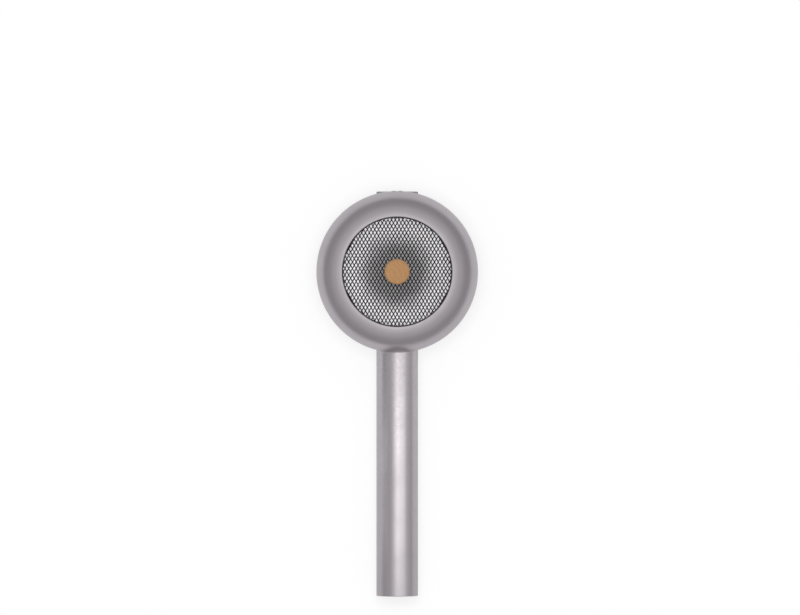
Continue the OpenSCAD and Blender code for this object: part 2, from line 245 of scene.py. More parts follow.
def spin_profile(points, closed=True, steps=SPIN_STEPS, degrees=360):
    """Turns a side profile of (radius, height) points about Z into a closed bmesh."""
    bm = bmesh.new()
    verts = [bm.verts.new((r, 0, z)) for r, z in points]
    pairs = list(zip(verts, verts[1:]))
    if closed:
        pairs.append((verts[-1], verts[0]))
    edges = [bm.edges.new(pair) for pair in pairs]
    bmesh.ops.spin(bm, geom=verts + edges, cent=(0, 0, 0), axis=(0, 0, 1),
                   angle=math.radians(degrees), steps=steps, use_merge=degrees == 360)
    bmesh.ops.remove_doubles(bm, verts=bm.verts, dist=MERGE)
    if degrees < 360:
        bmesh.ops.holes_fill(bm, edges=[e for e in bm.edges if e.is_boundary])
    bmesh.ops.recalc_face_normals(bm, faces=bm.faces)
    return bm


def flat_ring(hole_r, outer_r, low_z, high_z, edge, steps):
    """Ring about Z with flat ends and softened edges."""
    points = [(hole_r, low_z), (outer_r, low_z), (outer_r, high_z), (hole_r, high_z)]
    return spin_profile(rounded(points, edge), steps=steps)


def face_angle(bm, degrees):
    """Turns a part spin about Z until its middle lies at an angle from +X."""
    middle = sum((v.co for v in bm.verts), Vector())
    turn = math.radians(degrees) - math.atan2(middle.y, middle.x)
    bmesh.ops.rotate(bm, verts=bm.verts, cent=(0, 0, 0), matrix=Matrix.Rotation(turn, 3, "Z"))


def soften(bm, width):
    """Rounds the sharp edges of a bmesh."""
    limit = math.radians(EDGE_CORNER_DEG)
    sharp = [e for e in bm.edges if e.is_manifold and e.calc_face_angle() > limit]
    bmesh.ops.bevel(bm, geom=sharp, offset=width, offset_type="OFFSET", segments=2, profile=0.5,
                    affect="EDGES", material=-1)


def only(geom, kind):
    """The elements of one kind among an operator's results."""
    return [g for g in geom if isinstance(g, kind)]


def add_copies(bm, shape, places):
    """Adds a copy of a bmesh to another at each of several places, and uses it up."""
    mesh = bpy.data.meshes.new("shape")
    shape.to_mesh(mesh)
    shape.free()
    for place in places:
        copy = mesh.copy()
        copy.transform(place)
        bm.from_mesh(copy)
        bpy.data.meshes.remove(copy)
    bpy.data.meshes.remove(mesh)


def placed(shape, places):
    """A new bmesh with a copy of a bmesh at each of several places."""
    bm = bmesh.new()
    add_copies(bm, shape, places)
    return bm


def finish_mesh(bm, name, material, body, node):
    """Closes a bmesh as a piece that rides on a body and stands for its solid."""
    mesh = bpy.data.meshes.new(name)
    bm.to_mesh(mesh)
    bm.free()
    mesh.shade_smooth()
    mesh.set_sharp_from_angle(angle=math.radians(SMOOTH_DEG))
    mesh.materials.append(material)
    piece = bpy.data.objects.new(name, mesh)
    bpy.context.scene.collection.objects.link(piece)
    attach(piece, body)
    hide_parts(node)
    return piece


def corner_inset(distance, radius):
    """How far a plate's edge is cut back at a distance from its end, for a round corner."""
    if distance >= radius:
        return 0.0
    return radius - math.sqrt(radius ** 2 - (radius - distance) ** 2)


def wall_reach(z, grow):
    """Radius of the pan's outside at a height, grown by a thickness."""
    drop = max(0.0, PAN_CORNER_R - z)
    return PAN_BASE_R + math.sqrt((PAN_CORNER_R + grow) ** 2 - drop ** 2)


# Node helpers

# The colour sockets of a Mix node, which share their names with its other kinds
MIX_A = 6
MIX_B = 7
MIX_RESULT = 2


def new_material(name):
    """An empty material and its node tree."""
    material = bpy.data.materials.new(name)
    material.use_nodes = True
    material.node_tree.nodes.clear()
    return material, material.node_tree


def add(tree, kind, **values):
    """A new node with its settings and its sockets' values."""
    node = tree.nodes.new(kind)
    for key, value in values.items():
        if hasattr(node, key):
            setattr(node, key, value)
        else:
            node.inputs[key].default_value = value
    return node


def give(tree, socket, value):
    """Sets a socket to a number, or links it to another node's output."""
    if isinstance(value, (int, float)):
        socket.default_value = value
    else:
        tree.links.new(value, socket)


def math_node(tree, operation, *values):
    """Output of a sum on numbers and other nodes' outputs."""
    node = add(tree, "ShaderNodeMath", operation=operation)
    for socket, value in zip(node.inputs, values):
        give(tree, socket, value)
    return node.outputs[0]


def add_shares(tree, start, terms):
    """A start value plus each of several values times its share."""
    total = start
    for value, share in terms:
        total = math_node(tree, "ADD", total, math_node(tree, "MULTIPLY", value, share))
    return total


def long_side(tree, first, second):
    """Long side of a right triangle with two given sides."""
    squares = [math_node(tree, "MULTIPLY", side, side) for side in (first, second)]
    return math_node(tree, "SQRT", math_node(tree, "ADD", *squares))


def remap(tree, value, low, high, to_low, to_high, smooth=False):
    """A value moved from one range to another and kept inside it."""
    node = add(tree, "ShaderNodeMapRange", interpolation_type="SMOOTHSTEP" if smooth else "LINEAR")
    tree.links.new(value, node.inputs["Value"])
    for key, number in zip(("From Min", "From Max", "To Min", "To Max"), (low, high, to_low, to_high)):
        node.inputs[key].default_value = number
    return node.outputs["Result"]


def noise(tree, vector, scale, detail, rough=0.5, **values):
    """Noise node read at a place, finer with a larger scale."""
    node = add(tree, "ShaderNodeTexNoise", Detail=detail, Roughness=rough, **values)
    tree.links.new(vector, node.inputs["Vector"])
    give(tree, node.inputs["Scale"], scale)
    return node


def from_axis(tree, place, axis="Z", height=0.0):
    """Distance from an axis at a height, and the place along it."""
    move = add(tree, "ShaderNodeVectorMath", operation="SUBTRACT")
    move.inputs[1].default_value = (0, 0, height)
    tree.links.new(place, move.inputs[0])
    split = add(tree, "ShaderNodeSeparateXYZ")
    tree.links.new(move.outputs[0], split.inputs[0])
    flat = add(tree, "ShaderNodeCombineXYZ")
    for label in "XYZ".replace(axis, ""):
        tree.links.new(split.outputs[label], flat.inputs[label])
    length = add(tree, "ShaderNodeVectorMath", operation="LENGTH")
    tree.links.new(flat.outputs[0], length.inputs[0])
    return length.outputs["Value"], split.outputs[axis]


def close_material(tree, shader, colour, rough, height, bump, depth):
    """Links colour, roughness and fine relief to a shader, and the shader to the material's output."""
    relief = add(tree, "ShaderNodeBump", Strength=bump, Distance=depth)
    out = tree.nodes.new("ShaderNodeOutputMaterial")
    tree.links.new(colour, shader.inputs["Base Color"])
    tree.links.new(rough, shader.inputs["Roughness"])
    tree.links.new(height, relief.inputs["Height"])
    tree.links.new(relief.outputs["Normal"], shader.inputs["Normal"])
    tree.links.new(shader.outputs[0], out.inputs["Surface"])


# Node groups shared by the materials

def new_group(name, inputs, outputs):
    """An empty shader group with named sockets, and its input and output nodes."""
    tree = bpy.data.node_groups.new(name, "ShaderNodeTree")
    for label, kind, default in inputs:
        socket = tree.interface.new_socket(name=label, in_out="INPUT", socket_type=kind)
        if default is not None:
            socket.default_value = default
    for label in outputs:
        tree.interface.new_socket(name=label, in_out="OUTPUT", socket_type="NodeSocketFloat")
    return tree, tree.nodes.new("NodeGroupInput"), tree.nodes.new("NodeGroupOutput")


def place_group(tree, group, vector, **values):
    """Places a group in a material, with its own values."""
    node = tree.nodes.new("ShaderNodeGroup")
    node.node_tree = group
    tree.links.new(vector, node.inputs["Vector"])
    for key, value in values.items():
        node.inputs[key].default_value = value
    return node.outputs


GRAIN_ROUGH = 0.55


def make_ring_grain():
    """Lines turned about Z, as a polishing wheel leaves them: fine ones and wide, faint streaks."""
    tree, given, result = new_group(
        "ring_grain",
        [("Vector", "NodeSocketVector", None), ("Lines", "NodeSocketFloat", 6000.0),
         ("Streaks", "NodeSocketFloat", 450.0)],
        ["Fine", "Streak"])
    split = add(tree, "ShaderNodeSeparateXYZ")
    tree.links.new(given.outputs["Vector"], split.inputs[0])
    x, y, z = split.outputs
    radius = long_side(tree, x, y)
    safe = math_node(tree, "MAXIMUM", radius, 0.1 * MM)
    for count, label, turns, detail in (("Lines", "Fine", 2.0, 2.0), ("Streaks", "Streak", 0.5, 3.0)):
        place = add(tree, "ShaderNodeCombineXYZ")
        tree.links.new(math_node(tree, "MULTIPLY", radius, given.outputs[count]), place.inputs["X"])
        for value, socket in ((x, "Y"), (y, "Z")):
            turn = math_node(tree, "DIVIDE", value, safe)
            tree.links.new(math_node(tree, "MULTIPLY", turn, turns), place.inputs[socket])
        grain = noise(tree, place.outputs[0], 1.0, detail, GRAIN_ROUGH, noise_dimensions="4D")
        tree.links.new(math_node(tree, "MULTIPLY", z, given.outputs[count]), grain.inputs["W"])
        tree.links.new(grain.outputs["Fac"], result.inputs[label])
    return tree


def make_long_grain():
    """Lines drawn along one direction, as a belt leaves them: fine ones and wide, faint streaks."""
    tree, given, result = new_group(
        "long_grain",
        [("Vector", "NodeSocketVector", None), ("Lines", "NodeSocketVector", (6000.0, 12.0, 6000.0)),
         ("Streaks", "NodeSocketVector", (420.0, 3.0, 420.0))],
        ["Fine", "Streak"])
    for count, label, detail in (("Lines", "Fine", 2.0), ("Streaks", "Streak", 3.0)):
        stretch = add(tree, "ShaderNodeVectorMath", operation="MULTIPLY")
        tree.links.new(given.outputs["Vector"], stretch.inputs[0])
        tree.links.new(given.outputs[count], stretch.inputs[1])
        grain = noise(tree, stretch.outputs[0], 1.0, detail, GRAIN_ROUGH)
        tree.links.new(grain.outputs["Fac"], result.inputs[label])
    return tree


def make_handling():
    """Soft smudges from being handled."""
    tree, given, result = new_group(
        "handling",
        [("Vector", "NodeSocketVector", None), ("Patch", "NodeSocketFloat", 45.0)],
        ["Smudge"])
    patch = noise(tree, given.outputs["Vector"], given.outputs["Patch"], 4.0, 0.6, Distortion=0.2)
    tree.links.new(remap(tree, patch.outputs["Fac"], 0.35, 0.68, 0.0, 1.0), result.inputs["Smudge"])
    return tree


def make_edge_wear():
    """Convex edges rubbed by use, broken up by a noise."""
    tree, given, result = new_group("edge_wear", [("Vector", "NodeSocketVector", None)], ["Wear"])
    pointed = add(tree, "ShaderNodeNewGeometry").outputs["Pointiness"]
    edge = remap(tree, pointed, 0.508, 0.53, 0.0, 1.0)
    breaks = noise(tree, given.outputs["Vector"], 420.0, 2.0)
    patchy = remap(tree, breaks.outputs["Fac"], 0.3, 0.65, 0.3, 1.0)
    tree.links.new(math_node(tree, "MULTIPLY", edge, patchy), result.inputs["Wear"])
    return tree


RING_GRAIN = make_ring_grain()
LONG_GRAIN = make_long_grain()
HANDLING = make_handling()
EDGE_WEAR = make_edge_wear()


# Materials

# How much rubbed edges brighten and smooth steel, and how much its lines and smudges roughen it
WEAR_BRIGHTENS = 0.14
WEAR_SMOOTHS = 0.06
LINES_ROUGHEN = 0.02
DEEP_LINES_ROUGHEN = 0.06
SMUDGES_ROUGHEN = 0.05
STEEL_RELIEF = 0.01 * MM
# How far the edge of the painted shade round the middle of the pan's base wavers
SHADE_WAVER = 3 * MM
# Half the width over which a mask changes inside a wall
MASK_BLEND = 0.1 * MM


def bore_mask(tree, place):
    """1 on the tube's inside and 0 on its outside, parted halfway through its wall."""
    middle = TUBE_R - TUBE_WALL / 2
    radius = from_axis(tree, place, "Y", TUBE_Z)[0]
    return remap(tree, radius, middle - MASK_BLEND, middle + MASK_BLEND, 1.0, 0.0)


def bowl_mask(tree, place):
    """1 on the pan's inside and 0 on its outside, parted halfway through its wall."""
    radius, height = from_axis(tree, place)
    out = math_node(tree, "MAXIMUM", math_node(tree, "SUBTRACT", radius, PAN_BASE_R), 0.0)
    down = math_node(tree, "MAXIMUM", math_node(tree, "SUBTRACT", PAN_CORNER_R, height), 0.0)
    middle = PAN_CORNER_R - PAN_WALL / 2
    return remap(tree, long_side(tree, out, down), middle - MASK_BLEND, middle + MASK_BLEND, 1.0, 0.0)


def knob_shade_level(tree, place, core_r, clear_r, core_level):
    """Painted shade standing for the knob's shadow: the steel darkened round the pan's axis, inside and
    out, fading outwards with a wavering edge, and a faint random mottle over the whole pan.
    """
    waver = noise(tree, place, 70.0, 4.0, 0.6).outputs["Fac"]
    shift = remap(tree, waver, 0, 1, -SHADE_WAVER, SHADE_WAVER)
    radius = math_node(tree, "ADD", from_axis(tree, place)[0], shift)
    fade = remap(tree, radius, core_r, clear_r, core_level, 1.0, smooth=True)
    mottle = remap(tree, waver, 0.3, 0.7, 0.94, 1.06)
    return math_node(tree, "MULTIPLY", fade, mottle)


def steel(name, colour, rough, grain, bump=0.06, tint=0.04, metal=1.0, inside=None, knob_shade=None,
          **grain_values):
    """Satin steel: its grain, some handling and rubbed edges change its colour, gloss and surface; where
    given, a painted shade darkens it round the pan's axis.
    """
    material, tree = new_material(name)
    shader = add(tree, "ShaderNodeBsdfPrincipled", Metallic=metal)
    place = add(tree, "ShaderNodeTexCoord").outputs["Object"]
    lines = place_group(tree, grain, place, **grain_values)
    smear = place_group(tree, HANDLING, place)["Smudge"]
    wear = place_group(tree, EDGE_WEAR, place)["Wear"]
    streak = remap(tree, lines["Streak"], 0.25, 0.75, -1.0, 1.0)
    fine = remap(tree, lines["Fine"], 0.25, 0.75, -1.0, 1.0)
    deep = remap(tree, lines["Fine"], 0.64, 0.72, 0.0, 1.0)
    level = add_shares(tree, 1.0, ((streak, tint), (fine, tint / 2), (smear, -tint),
                                   (wear, WEAR_BRIGHTENS)))
    gloss = add_shares(tree, rough, ((streak, LINES_ROUGHEN), (fine, LINES_ROUGHEN),
                                     (smear, SMUDGES_ROUGHEN), (deep, DEEP_LINES_ROUGHEN),
                                     (wear, -WEAR_SMOOTHS)))
    # Painted shade: the steel is darkened round the pan's axis, standing for the knob's shadow on the
    # floor
    if knob_shade:
        level = math_node(tree, "MULTIPLY", level, knob_shade_level(tree, place, **knob_shade))
    tinted = add(tree, "ShaderNodeMix", data_type="RGBA", blend_type="MULTIPLY", Factor=1.0)
    tinted.inputs[MIX_A].default_value = (*colour, 1)
    tree.links.new(level, tinted.inputs[MIX_B])
    if inside:
        share = inside["mask"](tree, place)
        base = add(tree, "ShaderNodeMix", data_type="RGBA")
        base.inputs[MIX_A].default_value = (*colour, 1)
        base.inputs[MIX_B].default_value = (*inside["colour"], 1)
        tree.links.new(share, base.inputs["Factor"])
        tree.links.new(base.outputs[MIX_RESULT], tinted.inputs[MIX_A])
        gloss = add_shares(tree, gloss, [(share, inside["rough"] - rough)])
        if inside["metal"] != metal:
            tree.links.new(remap(tree, share, 0, 1, metal, inside["metal"]), shader.inputs["Metallic"])
    close_material(tree, shader, tinted.outputs[MIX_RESULT], gloss, lines["Fine"], bump, STEEL_RELIEF)
    return material


def dark_mesh_finish():
    """Dark oxide on the expanded sheet, rubbed a little brighter on the strands' crests."""
    material, tree = new_material("dark_mesh_finish")
    shader = add(tree, "ShaderNodeBsdfPrincipled", Metallic=0.6)
    place = add(tree, "ShaderNodeTexCoord").outputs["Object"]
    smear = place_group(tree, HANDLING, place, Patch=320.0)["Smudge"]
    height = math_node(tree, "SUBTRACT", from_axis(tree, place)[1], NET_Z)
    off_middle = math_node(tree, "ABSOLUTE", height)
    crest = remap(tree, off_middle, STRAND_T * 0.3, STRAND_T * 0.5, 0.0, 1.0)
    rubbed = math_node(tree, "MULTIPLY", crest, smear)
    tone = add(tree, "ShaderNodeMix", data_type="RGBA")
    tone.inputs[MIX_A].default_value = (0.008, 0.008, 0.009, 1)
    tone.inputs[MIX_B].default_value = (0.035, 0.034, 0.035, 1)
    tree.links.new(rubbed, tone.inputs["Factor"])
    gloss = remap(tree, rubbed, 0, 1, 0.52, 0.36)
    scale = noise(tree, place, 5200.0, 3.0, 0.6).outputs["Fac"]
    close_material(tree, shader, tone.outputs[MIX_RESULT], gloss, scale, 0.25, 0.02 * MM)
    return material


def beech_finish():
    """Oiled beech turned on end: growth arcs, short flecks, open pores and edges paled by the hand."""
    material, tree = new_material("beech_finish")
    shader = add(tree, "ShaderNodeBsdfPrincipled")
    shader.inputs["Specular IOR Level"].default_value = 0.35
    place = add(tree, "ShaderNodeTexCoord").outputs["Object"]
    heart = add(tree, "ShaderNodeMapping", Location=(0.031, 0.022, 0.0), Rotation=(0.05, 0.03, 0.0))
    tree.links.new(place, heart.inputs["Vector"])
    rings = add(tree, "ShaderNodeTexWave", wave_type="RINGS", rings_direction="Z", Scale=105.0,
                Distortion=9.0, Detail=3.0)
    rings.inputs["Detail Scale"].default_value = 1.6
    tree.links.new(heart.outputs[0], rings.inputs["Vector"])
    fleck_map = add(tree, "ShaderNodeMapping", Scale=(2600.0, 2600.0, 160.0))
    tree.links.new(place, fleck_map.inputs["Vector"])
    fleck = noise(tree, fleck_map.outputs[0], 1.0, 3.0, 0.65).outputs["Fac"]
    tone = noise(tree, place, 110.0, 3.0).outputs["Fac"]
    wear = place_group(tree, EDGE_WEAR, place)["Wear"]
    blend = add_shares(tree, 0.0, ((rings.outputs["Fac"], 0.22), (fleck, 0.5), (tone, 0.45), (wear, 0.2)))
    ramp = add(tree, "ShaderNodeValToRGB")
    stops = ((0.3, (0.42, 0.22, 0.095, 1)), (0.9, (0.53, 0.295, 0.135, 1)))
    for element, (position, colour) in zip(ramp.color_ramp.elements, stops):
        element.position = position
        element.color = colour
    tree.links.new(blend, ramp.inputs["Fac"])
    gloss = add_shares(tree, remap(tree, fleck, 0.3, 0.7, 0.42, 0.6), [(wear, -0.08)])
    close_material(tree, shader, ramp.outputs[0], gloss, fleck, 0.3, 0.04 * MM)
    return material


LID_STEEL = steel("lid_steel_finish", colour=(0.635, 0.595, 0.627), rough=0.29, grain=RING_GRAIN)
# The pan's steel carries a painted shade round the middle of its base, for the knob's shadow on the floor
PAN_STEEL = steel(
    "pan_steel_finish", colour=(0.66, 0.62, 0.652), rough=0.25, grain=RING_GRAIN, metal=0.85,
    inside={"mask": bowl_mask, "colour": (0.88, 0.86, 0.88), "rough": 0.14, "metal": 0.85},
    knob_shade={"core_r": 15 * MM, "clear_r": 32 * MM, "core_level": 0.34})
TUBE_STEEL = steel(
    "tube_steel_finish", colour=(0.6, 0.564, 0.593), rough=0.31, grain=LONG_GRAIN,
    inside={"mask": bore_mask, "colour": (0.36, 0.35, 0.355), "rough": 0.42, "metal": 0.35})
PLATE_STEEL = steel(
    "plate_steel_finish", colour=(0.52, 0.495, 0.515), rough=0.3, grain=LONG_GRAIN, bump=0.04,
    Lines=(150.0, 150.0, 6000.0), Streaks=(40.0, 40.0, 600.0))
RIVET_STEEL = steel(
    "rivet_steel_finish", colour=(0.62, 0.595, 0.615), rough=0.26, grain=LONG_GRAIN, bump=0.02, tint=0.025,
    Lines=(2200.0, 2200.0, 2200.0), Streaks=(350.0, 350.0, 350.0))
BRASS = steel("brass_finish", colour=(0.68, 0.5, 0.2), rough=0.3, grain=RING_GRAIN)
DARK_MESH = dark_mesh_finish()
BEECH = beech_finish()


# Pieces of the lid

def lid_shell():
    """Pressed lid ring: skirt, rounded shoulder and a lip folded down round the mesh."""
    inner_r = DOME_R - LID_SHEET
    edge_r = LID_SHEET / 2
    lip_z = net_high.z
    lip_out_r = OPEN_R + LID_SHEET
    lip_deg = math.degrees(math.acos((lip_out_r - DOME_C) / inner_r))
    points = arc((LID_R - edge_r, SKIRT_Z + edge_r), edge_r, -180, 0, steps=8)
    points += arc((DOME_C, DOME_Z), DOME_R, 0, 90, steps=56)
    points += arc((OPEN_R + LIP_LAND, LID_TOP_Z - LIP_LAND), LIP_LAND, 90, 180, steps=8)[1:]
    points += [(OPEN_R, lip_z), (lip_out_r, lip_z)]
    points += arc((DOME_C, DOME_Z), inner_r, lip_deg, 0, steps=56)
    return finish_mesh(spin_profile(points), "lid_shell", LID_STEEL, "lid", "lid_ring")


def diamond_cell():
    """One diamond of the net: a crest, a chamfer and a steep side all round an open, tilted middle."""
    half_x = CELL_X / 2
    half_y = CELL_Y / 2
    bm = bmesh.new()
    corners = [(-half_x, 0, 0), (0, -half_y, 0), (half_x, 0, 0), (0, half_y, 0)]
    cell = bm.faces.new([bm.verts.new(corner) for corner in corners])
    bmesh.ops.translate(bm, verts=cell.verts, vec=(0, 0, STRAND_T / 2))
    for width, drop in ((STRAND_W * 0.3, STRAND_T * 0.1), (STRAND_W * 0.2, STRAND_T * 0.4)):
        bmesh.ops.inset_individual(bm, faces=[cell], thickness=width, use_even_offset=True)
        bmesh.ops.translate(bm, verts=cell.verts, vec=(0, 0, -drop))
    bmesh.ops.delete(bm, geom=[cell], context="FACES_ONLY")
    under = bmesh.ops.duplicate(bm, geom=list(bm.verts) + list(bm.edges) + list(bm.faces))["geom"]
    bmesh.ops.scale(bm, vec=(1, 1, -1), verts=only(under, bmesh.types.BMVert))
    bmesh.ops.remove_doubles(bm, verts=bm.verts, dist=MERGE)
    for vert in bm.verts:
        if abs(vert.co.z) < PICK:
            vert.co.z = STRAND_TILT * vert.co.x / half_x
    return bm


def mesh_screen():
    """Expanded sheet of small diamonds, each strand a little tilted, inside a plain rim."""
    half_y = CELL_Y / 2
    rim_in = OPEN_R - NET_RIM_SHOWN
    reach = rim_in + CELL_X / 2
    rows = math.ceil(reach / half_y)
    columns = math.ceil(reach / CELL_X) + 1
    places = []
    for row in range(-rows, rows + 1):
        for column in range(-columns, columns + 1):
            place = Vector(((column + 0.5 * (row % 2)) * CELL_X, row * half_y, 0))
            if NET_CORE_R < place.length < reach:
                places.append(Matrix.Translation(place))
    bm = placed(diamond_cell(), places)
    bmesh.ops.remove_doubles(bm, verts=bm.verts, dist=NET_MERGE)
    border = [e for e in bm.edges if e.is_boundary and e.verts[0].co.z > 0]
    wall = bmesh.ops.extrude_edge_only(bm, edges=border)["geom"]
    bmesh.ops.translate(bm, verts=only(wall, bmesh.types.BMVert), vec=(0, 0, -STRAND_T))
    bmesh.ops.remove_doubles(bm, verts=bm.verts, dist=NET_MERGE)
    bmesh.ops.recalc_face_normals(bm, faces=bm.faces)
    rim_z = NET_RIM_T / 2
    rim = flat_ring(rim_in, net_high.x, -rim_z, rim_z, NET_RIM_EDGE, steps=192)
    add_copies(bm, rim, [Matrix.Identity(4)])
    bmesh.ops.translate(bm, verts=bm.verts, vec=(0, 0, NET_Z))
    return finish_mesh(bm, "mesh_screen", DARK_MESH, "lid", "lid_mesh")


def clamp_ring():
    """Ring that clamps the mesh: a flat under it, a riser and a flange up against the shoulder."""
    flat_z = clamp_low.z
    edge_r = clamp_high.x
    flat_in_r = OPEN_R + LID_SHEET
    riser = flat_in_r + CLAMP_FLAT_W
    inner_r = LINING_R - CLAMP_T
    tip_r = DOME_C + math.sqrt(inner_r ** 2 - (flat_z - DOME_Z) ** 2)

    def along_shoulder(arc_r, from_r, to_r, steps):
        """Points at even radii on a shoulder arc."""
        radii = [from_r + (to_r - from_r) * i / steps for i in range(steps + 1)]
        return [(r, DOME_Z + math.sqrt(arc_r ** 2 - (r - DOME_C) ** 2)) for r in radii]

    points = [(flat_in_r, flat_z), (riser + CLAMP_T, flat_z)]
    points += along_shoulder(inner_r, riser + CLAMP_T, tip_r, steps=6)
    points += along_shoulder(LINING_R, edge_r, riser, steps=8)
    points += [(riser, flat_z + CLAMP_T), (flat_in_r, flat_z + CLAMP_T)]
    bm = spin_profile(rounded(points, CLAMP_EDGE), steps=192)
    return finish_mesh(bm, "clamp_ring", PLATE_STEEL, "lid", "mesh_retainer")


def turned_knob():
    """Turned knob with a tapered foot, softened edges and a bore for its insert."""
    base = knob_low.z
    head_r = knob_high.x
    foot_r = head_r - KNOB_TAPER
    bore_r = insert_high.x + FIT
    bore_z = insert_high.z + FIT
    side_h = KNOB_FOOT_H - KNOB_FOOT_EDGE
    side_steps = 12
    crown_steps = 6
    points = [(0, bore_z), (bore_r, bore_z), (bore_r, base)]
    points += arc((foot_r - KNOB_FOOT_EDGE, base + KNOB_FOOT_EDGE), KNOB_FOOT_EDGE, -90, 0, steps=5)
    for i in range(1, side_steps + 1):
        share = i / side_steps
        drawn_in = KNOB_HOLLOW * math.sin(math.pi * share)
        points.append((foot_r + KNOB_TAPER * share - drawn_in, base + KNOB_FOOT_EDGE + side_h * share))
    top = knob_high.z - KNOB_CROWN
    top_r = head_r - KNOB_TOP_EDGE
    points += arc((top_r, top - KNOB_TOP_EDGE), KNOB_TOP_EDGE, 0, 90, steps=12)
    for i in range(1, crown_steps + 1):
        share = 1 - i / crown_steps
        points.append((top_r * share, top + KNOB_CROWN * (1 - share ** 2)))
    bm = spin_profile(points, closed=False, steps=96)
    return finish_mesh(bm, "turned_knob", BEECH, "lid", "knob")


# Pieces of the pan

def pan_shell():
    """Drawn pan with a round corner, a base pressed up inside its standing ring and a curled rim."""
    corner_r = PAN_CORNER_R - PAN_WALL
    dish_r = PAN_BASE_R - BASE_RING_W
    points = [(0, BASE_DISH), (dish_r / 2, BASE_DISH)]
    for back, rise in ((1.0, 1.0), (0.8, 0.9), (0.2, 0.1), (0.0, 0.0)):
        points.append((dish_r - DISH_SLOPE_W * back, BASE_DISH * rise))
    points += arc((PAN_BASE_R, PAN_CORNER_R), PAN_CORNER_R, -90, 0, steps=16)
    points.append((PAN_R, BEAD_Z - BEAD_R - BEAD_NECK))
    bead_deg = 360 - math.degrees(math.acos((PAN_R - PAN_WALL - BEAD_C) / BEAD_R))
    points += arc((BEAD_C, BEAD_Z), BEAD_R - PAN_WALL, CURL_START_DEG, CURL_END_DEG, steps=16)
    points += arc((BEAD_C, BEAD_Z), BEAD_R, CURL_END_DEG, bead_deg, steps=40)
    sweep_deg = math.degrees(math.asin((PAN_BASE_R - PAN_FLAT_R) / (PAN_SWEEP_R - corner_r)))
    sweep_z = PAN_WALL + PAN_SWEEP_R
    corner_z = sweep_z - (PAN_SWEEP_R - corner_r) * math.cos(math.radians(sweep_deg))
    points += arc((PAN_BASE_R, corner_z), corner_r, 0, sweep_deg - 90, steps=16)
    points += arc((PAN_FLAT_R, sweep_z), PAN_SWEEP_R, sweep_deg - 90, -90, steps=10)[1:]
    points += [(PAN_FLAT_R / 2, PAN_WALL), (0, PAN_WALL)]
    bm = spin_profile(points, closed=False)
    return finish_mesh(bm, "pan_shell", PAN_STEEL, "pan", "pan_bowl")


def pipe_shape(points, grow):
    """Spins a profile of (radius, distance) about the tube's axis and copes its root to the pan's wall."""
    bm = spin_profile(points, steps=128)
    bmesh.ops.rotate(bm, verts=bm.verts, cent=(0, 0, 0), matrix=Matrix.Rotation(math.radians(90), 3, "X"))
    bmesh.ops.translate(bm, verts=bm.verts, vec=(0, 0, TUBE_Z))
    for vert in bm.verts:
        if vert.co.y > -PAN_BASE_R - PICK:
            vert.co.y = -math.sqrt(wall_reach(vert.co.z, grow) ** 2 - vert.co.x ** 2)
    return bm


def handle_pipe():
    """Thin tube with softened ends, its root coped to the saddle and bored out for the collar."""
    bore_r = TUBE_R - TUBE_WALL
    root_r = bore_r + TUBE_REAM
    shoulder = COLLAR_END + FIT
    edge_y = TUBE_END - TUBE_EDGE
    # Rows of vertices that keep the rubbed edge at the mouth
    rows = [shoulder + 2 * MM, TUBE_END - 3 * MM, TUBE_END - 1 * MM]
    points = [(TUBE_R, PAN_BASE_R)] + [(TUBE_R, row) for row in rows]
    points += arc((TUBE_R - TUBE_EDGE, edge_y), TUBE_EDGE, 0, 90, steps=4)
    points += arc((bore_r + TUBE_EDGE, edge_y), TUBE_EDGE, 90, 180, steps=4)
    points += [(bore_r, row) for row in reversed(rows)]
    points += [(bore_r, shoulder), (root_r, shoulder), (root_r, PAN_BASE_R)]
    bm = pipe_shape(points, BRACKET_T + FIT)
    return finish_mesh(bm, "handle_pipe", TUBE_STEEL, "pan", "handle_tube")


def saddle_bracket():
    """Saddle plate with round corners that hugs the pan's wall, and the collar that carries the tube."""
    low = bracket_low.z
    height = bracket_high.z - low
    steps = 32
    levels = [low + height * i / steps for i in range(steps + 1)]
    points = [(wall_reach(z, FIT), z) for z in levels]
    points += [(wall_reach(z, BRACKET_T), z) for z in reversed(levels)]
    bm = spin_profile(points, steps=120, degrees=2 * SADDLE_HALF_DEG)
    face_angle(bm, -90)
    for vert in bm.verts:
        turn = math.radians(SADDLE_HALF_DEG) - abs(math.atan2(vert.co.x, -vert.co.y))
        reach = vert.co.xy.length
        grow = FIT if reach < wall_reach(vert.co.z, BRACKET_T / 2) else BRACKET_T
        cut = corner_inset(max(0.0, turn * PAN_R), SADDLE_ROUND)
        share = (vert.co.z - low) / height
        vert.co.z = low + cut + share * (height - 2 * cut)
        vert.co.xy *= wall_reach(vert.co.z, grow) / reach
    soften(bm, SADDLE_EDGE)
    # Rounded edges stay clear of the wall
    for vert in bm.verts:
        reach = vert.co.xy.length
        vert.co.xy *= max(1.0, wall_reach(vert.co.z, FIT) / reach)
    bmesh.ops.remove_doubles(bm, verts=bm.verts, dist=SADDLE_MERGE)
    collar = [(COLLAR_R, PAN_BASE_R), (COLLAR_R, COLLAR_END),
              (COLLAR_IN_R, COLLAR_END), (COLLAR_IN_R, PAN_BASE_R)]
    add_copies(bm, pipe_shape(collar, BRACKET_T / 2), [Matrix.Identity(4)])
    return finish_mesh(bm, "saddle_bracket", PLATE_STEEL, "pan", "handle_bracket")


# Pieces of the hinge

def barrel(half_from, half_to):
    """Hinge knuckle along Z between two distances from the middle, with softened ends."""
    return flat_ring(KNUCKLE_BORE_R, KNUCKLE_R, half_from, half_to, KNUCKLE_EDGE, steps=40)


def along_hinge(side):
    """Place that lays +Z along the hinge line, to one side."""
    return Matrix.Translation((0, HINGE_Y, HINGE_Z)) @ Matrix.Rotation(math.radians(90 * side), 4, "Y")


